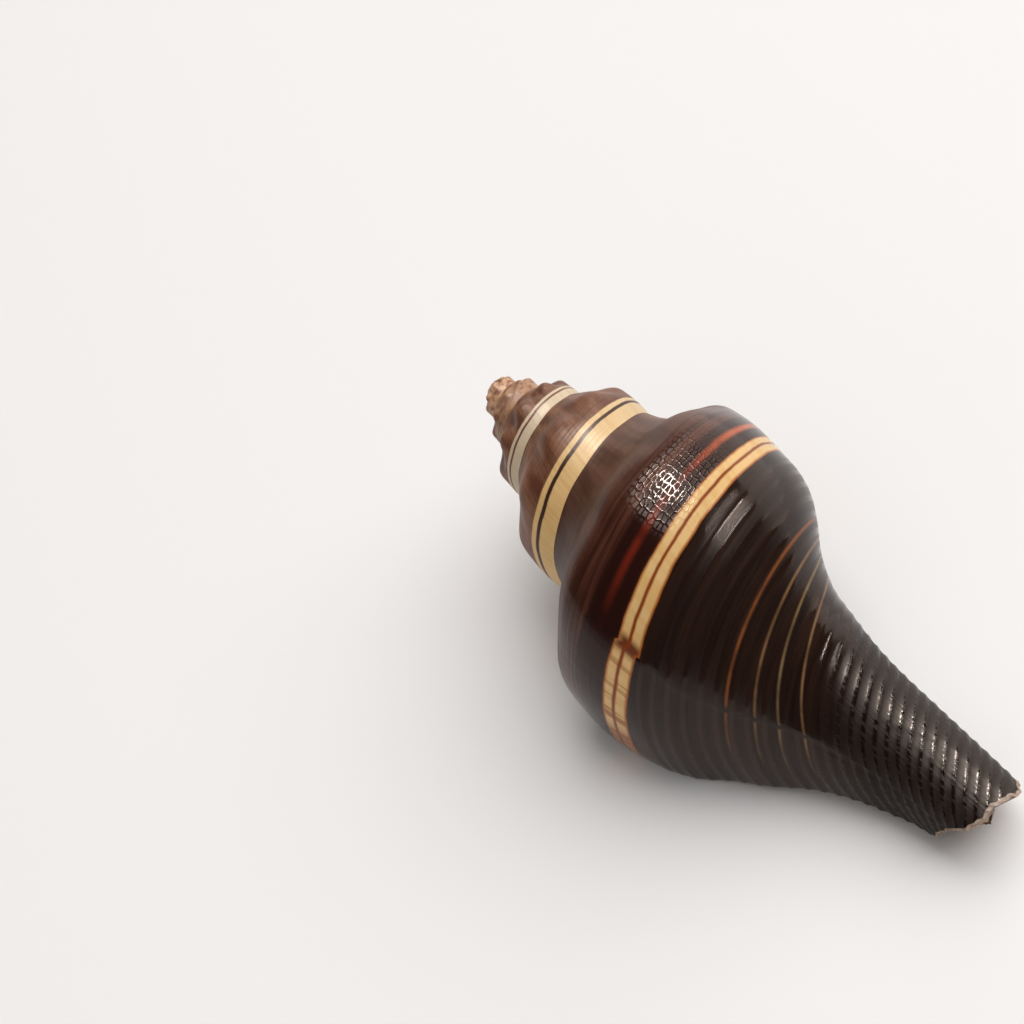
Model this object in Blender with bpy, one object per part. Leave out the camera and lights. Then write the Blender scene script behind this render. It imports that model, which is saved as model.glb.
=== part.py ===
"""A pugilina shell, a right-handed sea snail shell, as one hollow solid.

Lengths are metres, +Z is up and the shell lies at rest on the plane z = 0.
The shell's own frame has its axis along Z with the apex at the top, at the origin.  A place on
the shell is given by its growth angle (0 at the middle of the back, growing towards the lip), its
radius from the axis and its depth below the apex.
"""
import math

import bpy
import numpy as np
from mathutils import Euler, Matrix, Vector

# Driving dimensions, in millimetres, of a shell whose growth is 1 at angle 0
MM = 0.001
TURN = 2.0 * math.pi
LIP_ANGLE = math.radians(99.0)
GROWTH_PER_TURN = 1.757
SPIRE_SLOWING = 0.00094
SUTURE_RADIUS = 25.1
SUTURE_DEPTH = 64.2
SPIRE_ORIGIN = -7.1
CANAL_END_DEPTH = 108.0
CANAL_END_SLANT = 2.0
CANAL_END_REACH = 3.5
CANAL_END_CHIPS = 0.5
CHIPS_PER_TURN = 5
CANAL_RADIUS = 7.9
CANAL_RADIUS_AT_LIP = 7.2
CANAL_ROUNDING = 0.42 * TURN
CANAL_TAPER = 0.1
COLUMELLA_RADIUS = 2.9
WALL = 1.9
LIP_WALL = 1.1

# The worn apex: a rounded nub that closes faster than the rest of the spire
APEX_ANGLE = -4.0 * TURN
APEX_GROWTH_PER_TURN = 1.9
APEX_TURNS = 1.2
APEX_NARROWING = 0.12
APEX_BULGE = 0.15

# Shoulder knobs: low on the last whorl, strong on the spire
KNOBS_PER_TURN = 9
KNOB_HEIGHT_BODY = 0.018
KNOB_HEIGHT_SPIRE = 0.06
KNOB_PLACE = 0.42
KNOB_WIDTH = 0.20
SUTURE_WAVE = 0.12

# A whorl between two sutures, as (fraction of the way down, height over the straight line):
# the last whorl's shoulder is hollow above, the spire's whorls are evenly rounded
BODY_OUTLINE = ((0.0, 0.0), (0.11, -0.002), (0.24, 0.03), (0.355, 0.112), (0.48, 0.171),
                (0.63, 0.160), (0.79, 0.108), (0.92, 0.043), (1.0, 0.0))
SPIRE_OUTLINE = ((0.0, 0.0), (0.11, 0.040), (0.24, 0.095), (0.355, 0.138), (0.48, 0.163),
                 (0.63, 0.155), (0.79, 0.108), (0.92, 0.043), (1.0, 0.0))

# The base below the band, as (depth below it, share of its radius): at the back in mm of a shell
# of growth 1, and at the lip, where the base is drawn in, in true mm
BASE_OUTLINE_BACK = ((0.0, 1.0), (4.5, 0.972), (9.0, 0.90), (13.0, 0.785), (17.0, 0.64), (22.5, 0.51),
                     (28.5, 0.445), (35.0, 0.38), (45.0, 0.29), (60.0, 0.15), (80.0, 0.0))
BASE_OUTLINE_LIP = ((0.0, 1.0), (4.6, 0.915), (9.0, 0.79), (13.6, 0.68), (20.0, 0.505), (25.0, 0.405),
                    (31.0, 0.315), (36.0, 0.24), (41.0, 0.18))
BAND_DRAWN_IN = 0.08
CANAL_BLEND = 1.6

# Spiral cords on the canal
CORD_COUNT = 13
CORD_HEIGHT = 0.25
CORDS_START = 0.42

# The hollow behind the aperture
HOLLOW_TURNS = 2.5
MOUTH_OVERSHOOT = math.radians(10.0)
HOLLOW_END = math.radians(45.0)
HOLLOW_END_SHARE = 0.25
NOTCH_DEPTH = 4.6
HOLLOW_BOTTOM = 27.0
CHANNEL_OVERRUN = 8.0
SHALLOWEST_HOLLOW = 0.6
INTO_OLDER_WHORL = 0.25
MOUTH_FLARE = 2.0
STEEPEST_WALL = 1.2
LIP_THINS_OVER = 0.6
CANAL_CHANNEL_FROM = math.radians(-95.0)
CANAL_CHANNEL_TO = math.radians(-15.0)

# Mesh fineness
STEPS_PER_TURN = 45
WHORL_ROWS = 8
BASE_ROWS = 6
HOLLOW_STEPS_PER_TURN = 24
HOLLOW_ROWS = 11
PROFILE_ROWS = 60
SHARP_EDGE = math.radians(40.0)

# How it lies: turned about its own axis, then leaned over, then turned on the table
ROLL = math.radians(160.7)
LEAN = math.radians(77.7)
HEADING = math.radians(180.0)


def smooth_step(low, high, value):
    """Goes from 0 at low to 1 at high with level ends."""
    share = np.clip((value - low) / (high - low), 0.0, 1.0)
    return share * share * (3.0 - 2.0 * share)


def smooth_curve(points, x):
    """A curve through the points: cubic pieces whose slopes are the points' mean slopes."""
    knots, values = np.array(points, dtype=float).T
    slopes = np.gradient(values, knots)
    index = np.clip(np.searchsorted(knots, x, side="right") - 1, 0, len(knots) - 2)
    width = knots[index + 1] - knots[index]
    t = np.clip((x - knots[index]) / width, 0.0, 1.0)
    return ((1 + 2 * t) * (1 - t) ** 2 * values[index] + t * (1 - t) ** 2 * width * slopes[index]
            + t * t * (3 - 2 * t) * values[index + 1] + t * t * (t - 1) * width * slopes[index + 1])


def growth(angle):
    """Size of the shell at a growth angle, as a share of its size at angle 0."""
    rate = math.log(GROWTH_PER_TURN) / TURN
    body_angle = np.maximum(angle, APEX_ANGLE)
    apex_turns = np.minimum(angle - APEX_ANGLE, 0.0) / TURN
    size = np.exp(rate * body_angle + SPIRE_SLOWING * body_angle ** 2)
    return size * APEX_GROWTH_PER_TURN ** apex_turns


def suture(angle):
    """Radius and depth of the line where a whorl meets the next one."""
    size = growth(angle)
    apex_size = growth(APEX_ANGLE)
    apex_depth = SPIRE_ORIGIN + SUTURE_DEPTH * apex_size
    depth = np.where(size > apex_size, SPIRE_ORIGIN + SUTURE_DEPTH * size,
                     apex_depth * (size / apex_size) ** 2)
    wave = SUTURE_WAVE * size * smooth_step(0.0, -TURN, angle) * np.cos(KNOBS_PER_TURN * angle)
    narrowed = 1.0 - APEX_NARROWING * smooth_step(-2.0 * TURN, -3.3 * TURN, angle)
    return SUTURE_RADIUS * size * narrowed, depth + wave


def knob_height(angle, down):
    """Height of the shoulder knobs over the whorl, as a share of the whorl's width."""
    earlier = smooth_step(0.0, -2.5 * TURN, angle)
    strength = KNOB_HEIGHT_BODY + (KNOB_HEIGHT_SPIRE - KNOB_HEIGHT_BODY) * earlier
    ridge = np.exp(-((down - KNOB_PLACE) / KNOB_WIDTH) ** 2)
    return strength * ridge * np.cos(KNOBS_PER_TURN * angle)


def whorl_profile(angle, down):
    """Radius and depth across one whorl, from its upper suture (0) to its lower one (1)."""
    upper_radius, upper_depth = suture(angle - TURN)
    lower_radius, lower_depth = suture(angle)
    across = lower_radius - upper_radius
    along = lower_depth - upper_depth
    earlier = smooth_step(-0.3 * TURN, -1.1 * TURN, angle)
    body = smooth_curve(BODY_OUTLINE, down)
    height = body + (smooth_curve(SPIRE_OUTLINE, down) - body) * earlier
    height = height + knob_height(angle, down) * np.sin(math.pi * down)
    drawn_in = 1.0 - BAND_DRAWN_IN * smooth_step(-math.pi / 2, math.pi / 2, angle) * down ** 3
    radius = (upper_radius + across * down + along * height) * drawn_in
    return radius, upper_depth + along * down - across * height


def canal_radius(angle):
    """Outer radius of the canal: thin at the columella, full round the back."""
    opening = LIP_ANGLE - TURN
    late = smooth_step(-math.pi / 2, math.pi / 2, angle)
    full = CANAL_RADIUS + (CANAL_RADIUS_AT_LIP - CANAL_RADIUS) * late
    rounded = smooth_step(opening, opening + CANAL_ROUNDING, angle)
    return COLUMELLA_RADIUS + (full - COLUMELLA_RADIUS) * rounded


def canal_end(angle):
    """Depth of the canal's worn end, cut off slantwise and longest at the back."""
    slant = CANAL_END_REACH * math.cos(angle) - CANAL_END_SLANT * math.sin(angle)
    return CANAL_END_DEPTH + slant + CANAL_END_CHIPS * math.sin(CHIPS_PER_TURN * angle)


def base_profile(angle, down):
    """Radius and depth of the last whorl's base and canal, from the band (0) to the end (1)."""
    band_radius, band_depth = whorl_profile(angle, np.ones(1))
    depth = band_depth + (canal_end(angle) - band_depth) * down
    below = depth - band_depth
    late = smooth_step(-math.pi / 2, math.pi / 2, angle)
    share_back = smooth_curve(BASE_OUTLINE_BACK, below / growth(angle))
    share_lip = smooth_curve(BASE_OUTLINE_LIP, below)
    body = band_radius * (share_back + (share_lip - share_back) * late)
    canal = canal_radius(angle) * (1.0 - CANAL_TAPER * down ** 4)
    blend = CANAL_BLEND * smooth_step(0.0, 0.3, down)
    radius = 0.5 * (body + canal + np.sqrt((body - canal) ** 2 + blend ** 2))
    return radius - blend * blend / (4.0 * radius), depth


def to_point(radius, angle, depth):
    """A point of the shell's own frame; growth runs clockwise seen from the apex."""
    return (radius * math.cos(angle) * MM, -radius * math.sin(angle) * MM, -depth * MM)


def make_object(name, points, faces):
    """A new mesh object from points and faces."""
    mesh = bpy.data.meshes.new(name)
    mesh.from_pydata(points, [], faces)
    mesh.validate()
    mesh.shade_smooth()
    mesh.set_sharp_from_angle(angle=SHARP_EDGE)
    thing = bpy.data.objects.new(name, mesh)
    bpy.context.scene.collection.objects.link(thing)
    return thing


def base_rows():
    """Places of the base's rows: even above, then one crest and one groove for each cord."""
    plain = np.linspace(0.0, CORDS_START, BASE_ROWS + 1)[1:]
    corded = np.linspace(CORDS_START, 1.0, 2 * CORD_COUNT + 1)[1:]
    crests = CORD_HEIGHT * np.where(np.arange(2 * CORD_COUNT) % 2, 1.0, -1.0)
    relief = np.concatenate([np.zeros(BASE_ROWS), crests])
    relief[-1] = 0.0
    return np.concatenate([plain, corded]), relief


def shell_outside():
    """The whole outside as a spiral strip whose lower edge is the next turn's upper edge."""
    turns_back = int((LIP_ANGLE - APEX_ANGLE) / TURN + APEX_TURNS)
    steps = turns_back * STEPS_PER_TURN
    angles = LIP_ANGLE - TURN * (steps - np.arange(steps + 1)) / STEPS_PER_TURN
    down_whorl = np.linspace(0.0, 1.0, WHORL_ROWS + 1)
    down_base, cords = base_rows()
    last_turn = steps - STEPS_PER_TURN
    points, columns = [], []
    for step, angle in enumerate(angles):
        radius, depth = whorl_profile(angle, down_whorl)
        first_row = 1 if step >= STEPS_PER_TURN else 0
        upper_edge = [columns[step - STEPS_PER_TURN][WHORL_ROWS]] if first_row else []
        if step >= last_turn:
            base_radius, base_depth = base_profile(angle, down_base)
            radius = np.concatenate([radius, base_radius + cords])
            depth = np.concatenate([depth, base_depth])
        numbers = range(len(points), len(points) + len(radius) - first_row)
        points += [to_point(r, angle, d) for r, d in zip(radius[first_row:], depth[first_row:])]
        columns.append(upper_edge + list(numbers))
    faces = []
    for left, right in zip(columns, columns[1:]):
        for row in range(min(len(left), len(right)) - 1):
            faces.append((left[row], left[row + 1], right[row + 1], right[row]))
    close_apex(points, faces, columns)
    close_lip(faces, columns[-1], columns[last_turn][WHORL_ROWS:])
    close_canal_end(points, faces, columns, last_turn)
    return make_object("shell", points, faces)


def close_apex(points, faces, columns):
    """A cap over the first turn's upper edge, and over the first column's open side."""
    rim = [column[0] for column in columns[:STEPS_PER_TURN]] + columns[0][::-1][:-1]
    centre = np.mean([points[number] for number in rim[:STEPS_PER_TURN]], axis=0)
    centre[2] = max(points[number][2] for number in rim) + APEX_BULGE * MM
    points.append(tuple(centre))
    top = len(points) - 1
    for first, second in zip(rim, rim[1:] + rim[:1]):
        faces.append((first, second, top))


def close_lip(faces, lip_edge, columella_edge):
    """The face between the lip's edge and the older whorl; both edges start at the suture."""
    across = len(lip_edge) - len(columella_edge)
    for row in range(across):
        faces.append((lip_edge[row], lip_edge[row + 1], columella_edge[0]))
    for row in range(len(columella_edge) - 1):
        faces.append((lip_edge[across + row], lip_edge[across + row + 1],
                      columella_edge[row + 1], columella_edge[row]))


def close_canal_end(points, faces, columns, last_turn):
    """A fan over the canal's worn end."""
    rim = [column[-1] for column in columns[last_turn:]]
    centre = np.mean([points[number] for number in rim], axis=0)
    points.append(tuple(centre))
    for first, second in zip(rim, rim[1:] + rim[:1]):
        faces.append((second, first, len(points) - 1))


def profile_line(angle):
    """Radius and depth of the outside at one angle, from the suture to the canal's end."""
    down = np.linspace(0.0, 1.0, PROFILE_ROWS)
    whorl = whorl_profile(angle, down)
    base = base_profile(angle, down[1:])
    return np.concatenate([whorl[0], base[0]]), np.concatenate([whorl[1], base[1]])


def hollow_section(angle, share_open, in_front):
    """One section of the hollow: down inside the outer wall, back up along the older whorl."""
    outer_radius, outer_depth = profile_line(angle)
    inner_radius, inner_depth = profile_line(angle - TURN)
    top = suture(angle - TURN)[1] + NOTCH_DEPTH * growth(angle)
    back = suture(angle)[1] + HOLLOW_BOTTOM * growth(angle)
    beyond_end = CANAL_END_DEPTH + CHANNEL_OVERRUN
    bottom = back + (beyond_end - back) * smooth_step(CANAL_CHANNEL_FROM, CANAL_CHANNEL_TO, angle)
    middle = 0.5 * (top + bottom)
    depth = middle + (np.linspace(top, bottom, HOLLOW_ROWS) - middle) * share_open
    slope = np.clip(np.gradient(outer_radius, outer_depth), -STEEPEST_WALL, STEEPEST_WALL)
    full_wall = WALL * min(growth(angle), 1.0)
    behind_lip = smooth_step(LIP_ANGLE, LIP_ANGLE - LIP_THINS_OVER, angle)
    wall = LIP_WALL + (full_wall - LIP_WALL) * behind_lip
    thickness = wall * np.sqrt(1.0 + np.interp(depth, outer_depth, slope) ** 2)
    outside = np.interp(depth, outer_depth, outer_radius) - thickness
    inside = np.interp(depth, inner_depth, inner_radius) - INTO_OLDER_WHORL + MOUTH_FLARE * in_front
    inside = np.minimum(inside, outside - SHALLOWEST_HOLLOW)
    centre = 0.5 * (outside + inside)
    outside = centre + (outside - centre) * share_open
    inside = centre + (inside - centre) * share_open
    return np.concatenate([outside, inside[::-1]]), np.concatenate([depth, depth[::-1]])


def hollow_cutter():
    """The hollow as a closed tube of sections, from in front of the lip back round the axis."""
    step = TURN / HOLLOW_STEPS_PER_TURN
    count = int((HOLLOW_TURNS * TURN + MOUTH_OVERSHOOT) / step)
    angles = LIP_ANGLE + MOUTH_OVERSHOOT - step * np.arange(count + 1)
    points, faces = [], []
    size = 2 * HOLLOW_ROWS
    for angle in angles:
        opening = math.sqrt(smooth_step(angles[-1], angles[-1] + HOLLOW_END, angle))
        share_open = HOLLOW_END_SHARE + (1.0 - HOLLOW_END_SHARE) * opening
        in_front = max(angle - LIP_ANGLE, 0.0) / MOUTH_OVERSHOOT
        radius, depth = hollow_section(angle, share_open, in_front)
        points += [to_point(r, angle, d) for r, d in zip(radius, depth)]
    for ring in range(count):
        for spot in range(size):
            this, after = ring * size + spot, ring * size + (spot + 1) % size
            faces.append((this, after, after + size, this + size))
    faces.append(tuple(range(size))[::-1])
    faces.append(tuple(range(count * size, (count + 1) * size)))
    cutter = make_object("hollow_cutter", points, faces)
    cutter.hide_render = True
    cutter.display_type = "WIRE"
    return cutter


def shell_material():
    """Polished dark brown shell."""
    material = bpy.data.materials.new("polished_brown_shell")
    material.use_nodes = True
    shader = material.node_tree.nodes["Principled BSDF"]
    shader.inputs["Base Color"].default_value = (0.085, 0.032, 0.018, 1.0)
    shader.inputs["Roughness"].default_value = 0.18
    shader.inputs["Metallic"].default_value = 0.0
    return material


def lay_down(things):
    """Turns the things as the shell lies, with its lowest point at z = 0 and centred over it."""
    pose = bpy.data.objects.new("lying_pose", None)
    bpy.context.scene.collection.objects.link(pose)
    for thing in things:
        thing.parent = pose
    turned = Euler((0.0, LEAN, HEADING)).to_matrix() @ Matrix.Rotation(ROLL, 3, "Z")
    pose.rotation_euler = turned.to_euler()
    bpy.context.view_layer.update()
    solid = things[0].evaluated_get(bpy.context.evaluated_depsgraph_get())
    placed = np.array([solid.matrix_world @ vertex.co for vertex in solid.data.vertices])
    low, high = placed.min(axis=0), placed.max(axis=0)
    pose.location = Vector((-(low[0] + high[0]) / 2, -(low[1] + high[1]) / 2, -low[2]))


def main():
    for thing in list(bpy.data.objects):
        bpy.data.objects.remove(thing, do_unlink=True)
    shell = shell_outside()
    shell.data.materials.append(shell_material())
    cutter = hollow_cutter()
    hollow = shell.modifiers.new("hollow", "BOOLEAN")
    hollow.operation = "DIFFERENCE"
    hollow.object = cutter
    lay_down([shell, cutter])


main()
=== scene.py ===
"""The looks of a pugilina shell, a right-handed sea snail shell with bands round its whorls.

The shell is one surface worked out on grids of growth angle and place across the whorl, in the
shell's own frame: millimetres, axis along Z, apex at the origin and up.  A growth angle is 0 at the
middle of the back and grows towards the lip, clockwise seen from the apex.  The surface is then
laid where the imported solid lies.
"""
import math

import bmesh
import bpy
import numpy as np
from mathutils import Euler, Matrix, Vector

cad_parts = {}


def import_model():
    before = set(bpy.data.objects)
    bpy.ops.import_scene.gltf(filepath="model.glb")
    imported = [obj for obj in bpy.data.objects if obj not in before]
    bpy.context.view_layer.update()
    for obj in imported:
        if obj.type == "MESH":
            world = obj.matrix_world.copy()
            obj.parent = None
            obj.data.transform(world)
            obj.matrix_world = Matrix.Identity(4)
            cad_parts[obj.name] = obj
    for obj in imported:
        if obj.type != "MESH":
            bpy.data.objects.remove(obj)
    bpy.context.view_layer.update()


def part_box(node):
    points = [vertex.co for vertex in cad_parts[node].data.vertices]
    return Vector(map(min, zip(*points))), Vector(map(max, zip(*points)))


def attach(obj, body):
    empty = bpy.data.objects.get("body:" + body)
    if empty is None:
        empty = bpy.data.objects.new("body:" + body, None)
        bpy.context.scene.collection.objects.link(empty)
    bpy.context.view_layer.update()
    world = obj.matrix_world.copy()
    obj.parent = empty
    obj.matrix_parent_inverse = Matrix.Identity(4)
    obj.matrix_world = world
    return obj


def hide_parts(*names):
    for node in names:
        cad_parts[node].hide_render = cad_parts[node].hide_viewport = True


MM = 0.001
TURN = 2.0 * math.pi

# The shape, in millimetres at growth 1
LIP_ANGLE = math.radians(99.0)
GROWTH_PER_TURN = 1.757
SPIRE_SLOWING = 0.00094
SUTURE_RADIUS = 25.1
SUTURE_DEPTH = 64.2
SPIRE_ORIGIN = -7.1
CANAL_END_DEPTH = 108.0
CANAL_END_SLANT = 2.0
CANAL_END_REACH = 3.5
CANAL_RADIUS = 7.9
CANAL_RADIUS_AT_LIP = 7.2
CANAL_ROUNDING = 0.42 * TURN
CANAL_TAPER = 0.1
COLUMELLA_RADIUS = 2.9
WALL = 1.9
LIP_WALL = 1.1
LIP_THINS_OVER = 0.6
APEX_ANGLE = -4.0 * TURN
APEX_GROWTH_PER_TURN = 1.9
APEX_NARROWING = 0.26
STRIP_TURNS = 5
KNOBS_PER_TURN = 9
KNOB_HEIGHT_BODY = 0.012
KNOB_HEIGHT_SPIRE = 0.085
KNOB_PLACE = 0.42
KNOB_WIDTH = 0.20
SUTURE_WAVE = 0.12
BAND_DRAWN_IN = 0.08
CANAL_BLEND = 1.6
BODY_OUTLINE = ((0.0, 0.0), (0.11, -0.002), (0.24, 0.03), (0.355, 0.112), (0.48, 0.171),
                (0.63, 0.160), (0.79, 0.108), (0.92, 0.043), (1.0, 0.0))
SPIRE_OUTLINE = ((0.0, 0.0), (0.11, 0.040), (0.24, 0.095), (0.355, 0.138), (0.48, 0.163),
                 (0.63, 0.155), (0.79, 0.108), (0.92, 0.043), (1.0, 0.0))
BASE_OUTLINE_BACK = ((0.0, 1.0), (4.5, 0.972), (9.0, 0.90), (13.0, 0.785), (17.0, 0.64), (22.5, 0.51),
                     (28.5, 0.445), (35.0, 0.38), (45.0, 0.29), (60.0, 0.15), (80.0, 0.0))
BASE_OUTLINE_LIP = ((0.0, 1.0), (4.6, 0.915), (9.0, 0.79), (13.6, 0.68), (20.0, 0.505), (25.0, 0.405),
                    (31.0, 0.315), (36.0, 0.24), (41.0, 0.18))
NOTCH_DEPTH = 4.6
HOLLOW_BOTTOM = 27.0
CANAL_CHANNEL_FROM = math.radians(-95.0)
CANAL_CHANNEL_TO = math.radians(-15.0)
HOLLOW_TURNS = 1.2
STEEPEST_WALL = 1.2
INTO_OLDER_WHORL = 0.2
SHALLOWEST_HOLLOW = 0.6
# The share of the hollow's width that is left at its roof and its floor
PINCH = 0.2
# The middle of the canal's worn end, where its triangles meet
HEART_RADIUS = 1.2
HEART_BEFORE_SLOT = math.radians(60.0)

# How it lies: turned about its own axis, then leaned over, then turned on the table
ROLL = math.radians(160.7)
LEAN = math.radians(77.7)
HEADING = math.radians(180.0)

# Fineness of the grids
STEPS_PER_TURN = 200
WHORL_ROWS = 32
BASE_ROWS = 190
RIM_ROWS = 6
WORN_ROWS = 2
PROFILE_ROWS = 90
SHARP_EDGE = math.radians(62.0)
HOLLOW_STEPS_PER_TURN = 60
HOLLOW_ROWS = 40

# Relief over the plain shape: heights and spacings in millimetres, and growth angles in turns.  A
# place is 0 to 1 across a whorl and more on the base, where it grows by 1 in BASE_UNIT millimetres.
BASE_UNIT = 40.0
CORD_SPACING = 2.1
CORD_HEIGHT = 0.10
SCAR_DEPTH = 0.16
SCAR_PLACE = 0.1115
SCAR_LAG = 0.022
SCAR_FADES_OVER = 0.07
UNEVENNESS = 0.05
FINE_CORD_SHARE = 0.06
FASCIOLE_HEIGHT = 0.14
FASCIOLE_WIDTH = 0.09
CANAL_STARTS = (1.5, 1.8)

# The view: where the apex is in the 1024 x 1024 frame, how the axis slopes down to the right there
# and how far its canal end comes forward, and the lens
FRAME_PIXELS = 1024
APEX_PIXEL = (490.0, 383.3)
AXIS_SLOPE = math.radians(42.42)
AXIS_FORWARD = math.radians(26.93)
FOCAL_PIXELS = 2165.2
APEX_DISTANCE = 0.36424
SENSOR = 36.0


def smooth_step(low, high, value):
    """Goes from 0 at low to 1 at high with level ends: 3 t squared - 2 t cubed."""
    share = np.clip((value - low) / (high - low), 0.0, 1.0)
    return share * share * (3.0 - 2.0 * share)


def smooth_curve(points, x):
    """A curve through the points: cubic pieces whose slopes are the points' mean slopes."""
    knots, values = np.array(points, dtype=float).T
    slopes = np.gradient(values, knots)
    index = np.clip(np.searchsorted(knots, x, side="right") - 1, 0, len(knots) - 2)
    width = knots[index + 1] - knots[index]
    t = np.clip((x - knots[index]) / width, 0.0, 1.0)
    return ((1 + 2 * t) * (1 - t) ** 2 * values[index] + t * (1 - t) ** 2 * width * slopes[index]
            + t * t * (3 - 2 * t) * values[index + 1] + t * t * (t - 1) * width * slopes[index + 1])


def growth(angle):
    """Size at a growth angle: e to the (rate x angle + slowing x angle squared), and faster to the
    power of the turns past the worn apex's start."""
    rate = math.log(GROWTH_PER_TURN) / TURN
    body_angle = np.maximum(angle, APEX_ANGLE)
    apex_turns = np.minimum(angle - APEX_ANGLE, 0.0) / TURN
    return np.exp(rate * body_angle + SPIRE_SLOWING * body_angle ** 2) * APEX_GROWTH_PER_TURN ** apex_turns


def suture(angle):
    """Radius and depth of the seam between whorls: both in step with the size, and the depth with
    the square of the size on the worn apex.  The spire's seam also waves with the knobs, and its
    radius is narrowed towards the apex."""
    size = growth(angle)
    apex_size = growth(APEX_ANGLE)
    apex_depth = SPIRE_ORIGIN + SUTURE_DEPTH * apex_size
    depth = np.where(size > apex_size, SPIRE_ORIGIN + SUTURE_DEPTH * size,
                     apex_depth * (size / apex_size) ** 2)
    wave = SUTURE_WAVE * size * smooth_step(0.0, -TURN, angle) * np.cos(KNOBS_PER_TURN * angle)
    narrowed = 1.0 - APEX_NARROWING * smooth_step(-2.0 * TURN, -4.0 * TURN, angle)
    return SUTURE_RADIUS * size * narrowed, depth + wave


def knob_height(angle, down):
    """The shoulder knobs' height over the whorl's width: a bell across the whorl, e to the minus
    square of (distance from the shoulder / width), times a cosine of the growth angle."""
    taller = KNOB_HEIGHT_SPIRE - KNOB_HEIGHT_BODY
    strength = KNOB_HEIGHT_BODY + taller * smooth_step(0.0, -2.5 * TURN, angle)
    ridge = np.exp(-((down - KNOB_PLACE) / KNOB_WIDTH) ** 2) * smooth_step(0.06, 0.3, down)
    return strength * ridge * np.cos(KNOBS_PER_TURN * angle)


def whorl_place(angle, down):
    """Radius and depth across a whorl: the straight line from its upper seam (0) to its lower one
    (1), plus the outline's height at right angles to it."""
    upper_radius, upper_depth = suture(angle - TURN)
    lower_radius, lower_depth = suture(angle)
    across = lower_radius - upper_radius
    along = lower_depth - upper_depth
    earlier = smooth_step(-0.3 * TURN, -1.1 * TURN, angle)
    body = smooth_curve(BODY_OUTLINE, down)
    height = body + (smooth_curve(SPIRE_OUTLINE, down) - body) * earlier
    height = height + knob_height(angle, down) * np.sin(math.pi * down)
    drawn_in = 1.0 - BAND_DRAWN_IN * smooth_step(-math.pi / 2, math.pi / 2, angle) * down ** 3
    radius = (upper_radius + across * down + along * height) * drawn_in
    return radius, upper_depth + along * down - across * height


def canal_radius(angle):
    """Outer radius of the canal: the columella's at its start, and full round the back."""
    opening = LIP_ANGLE - TURN
    late = smooth_step(-math.pi / 2, math.pi / 2, angle)
    full = CANAL_RADIUS + (CANAL_RADIUS_AT_LIP - CANAL_RADIUS) * late
    round_back = smooth_step(opening, opening + CANAL_ROUNDING, angle)
    return COLUMELLA_RADIUS + (full - COLUMELLA_RADIUS) * round_back


def canal_end(angle):
    """Depth of the canal's worn end: a slanting cut, longest at the back, with a ragged edge of
    three sines."""
    ragged = 0.5 * np.sin(5 * angle) + 0.15 * np.sin(13 * angle + 1.0) + 0.10 * np.sin(29 * angle)
    return CANAL_END_DEPTH + CANAL_END_REACH * np.cos(angle) - CANAL_END_SLANT * np.sin(angle) + ragged


def base_place(angle, down):
    """Radius and depth from the band (0) to the canal's end (1): the larger of the body's outline
    and the canal's radius, rounded where they meet: half of (sum + root of (difference squared +
    blend squared))."""
    band_radius, band_depth = whorl_place(angle, np.ones_like(angle))
    depth = band_depth + (canal_end(angle) - band_depth) * down
    below = depth - band_depth
    late = smooth_step(-math.pi / 2, math.pi / 2, angle)
    share_back = smooth_curve(BASE_OUTLINE_BACK, below / growth(angle))
    share_lip = smooth_curve(BASE_OUTLINE_LIP, below)
    body = band_radius * (share_back + (share_lip - share_back) * late)
    canal = canal_radius(angle) * (1.0 - CANAL_TAPER * down ** 4)
    blend = CANAL_BLEND * smooth_step(0.0, 0.3, down)
    radius = 0.5 * (body + canal + np.sqrt((body - canal) ** 2 + blend ** 2))
    return radius - blend * blend / (4.0 * radius), depth


def to_points(radius, angle, depth):
    """Points of the shell's own frame, in metres: x = r cos a, y = -r sin a, z = -depth."""
    angle = np.broadcast_to(angle, radius.shape)
    return np.stack([radius * np.cos(angle), -radius * np.sin(angle), -depth], axis=-1) * MM


def raise_along_normal(radius, depth, height):
    """Radius and depth moved by a height at right angles to each section's line."""
    along_radius = np.gradient(radius, axis=1)
    along_depth = np.gradient(depth, axis=1)
    length = np.hypot(along_radius, along_depth) + 1e-9
    return radius + height * along_depth / length, depth - height * along_radius / length


def scar_angle(place):
    """Growth place, in turns, of the break in growth: a growth line that lags on the base."""
    return SCAR_PLACE + SCAR_LAG * smooth_step(0.85, 1.25, place)


def scar_relief(turns, place):
    """Past the break the surface starts lower and comes back: -depth x e to the -(way past / fade)."""
    past = turns - scar_angle(place)
    depth = SCAR_DEPTH * smooth_step(-0.002, 0.006, past) * smooth_step(0.7, 1.1, place)
    return -depth * np.exp(-np.maximum(past, 0.0) / SCAR_FADES_OVER)


def whorl_relief(turns, place):
    """The break in growth, and a low unevenness: a sine of the growth angle whose phase sways.
    There is none at the seams."""
    window = smooth_step(0.0, 0.08, place) * (1.0 - smooth_step(0.92, 1.0, place))
    uneven = UNEVENNESS * np.sin(TURN * 13.0 * turns + 1.7 * np.sin(TURN * 3.1 * turns))
    return (scar_relief(turns, place) + uneven * growth(turns * TURN)) * window


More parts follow.
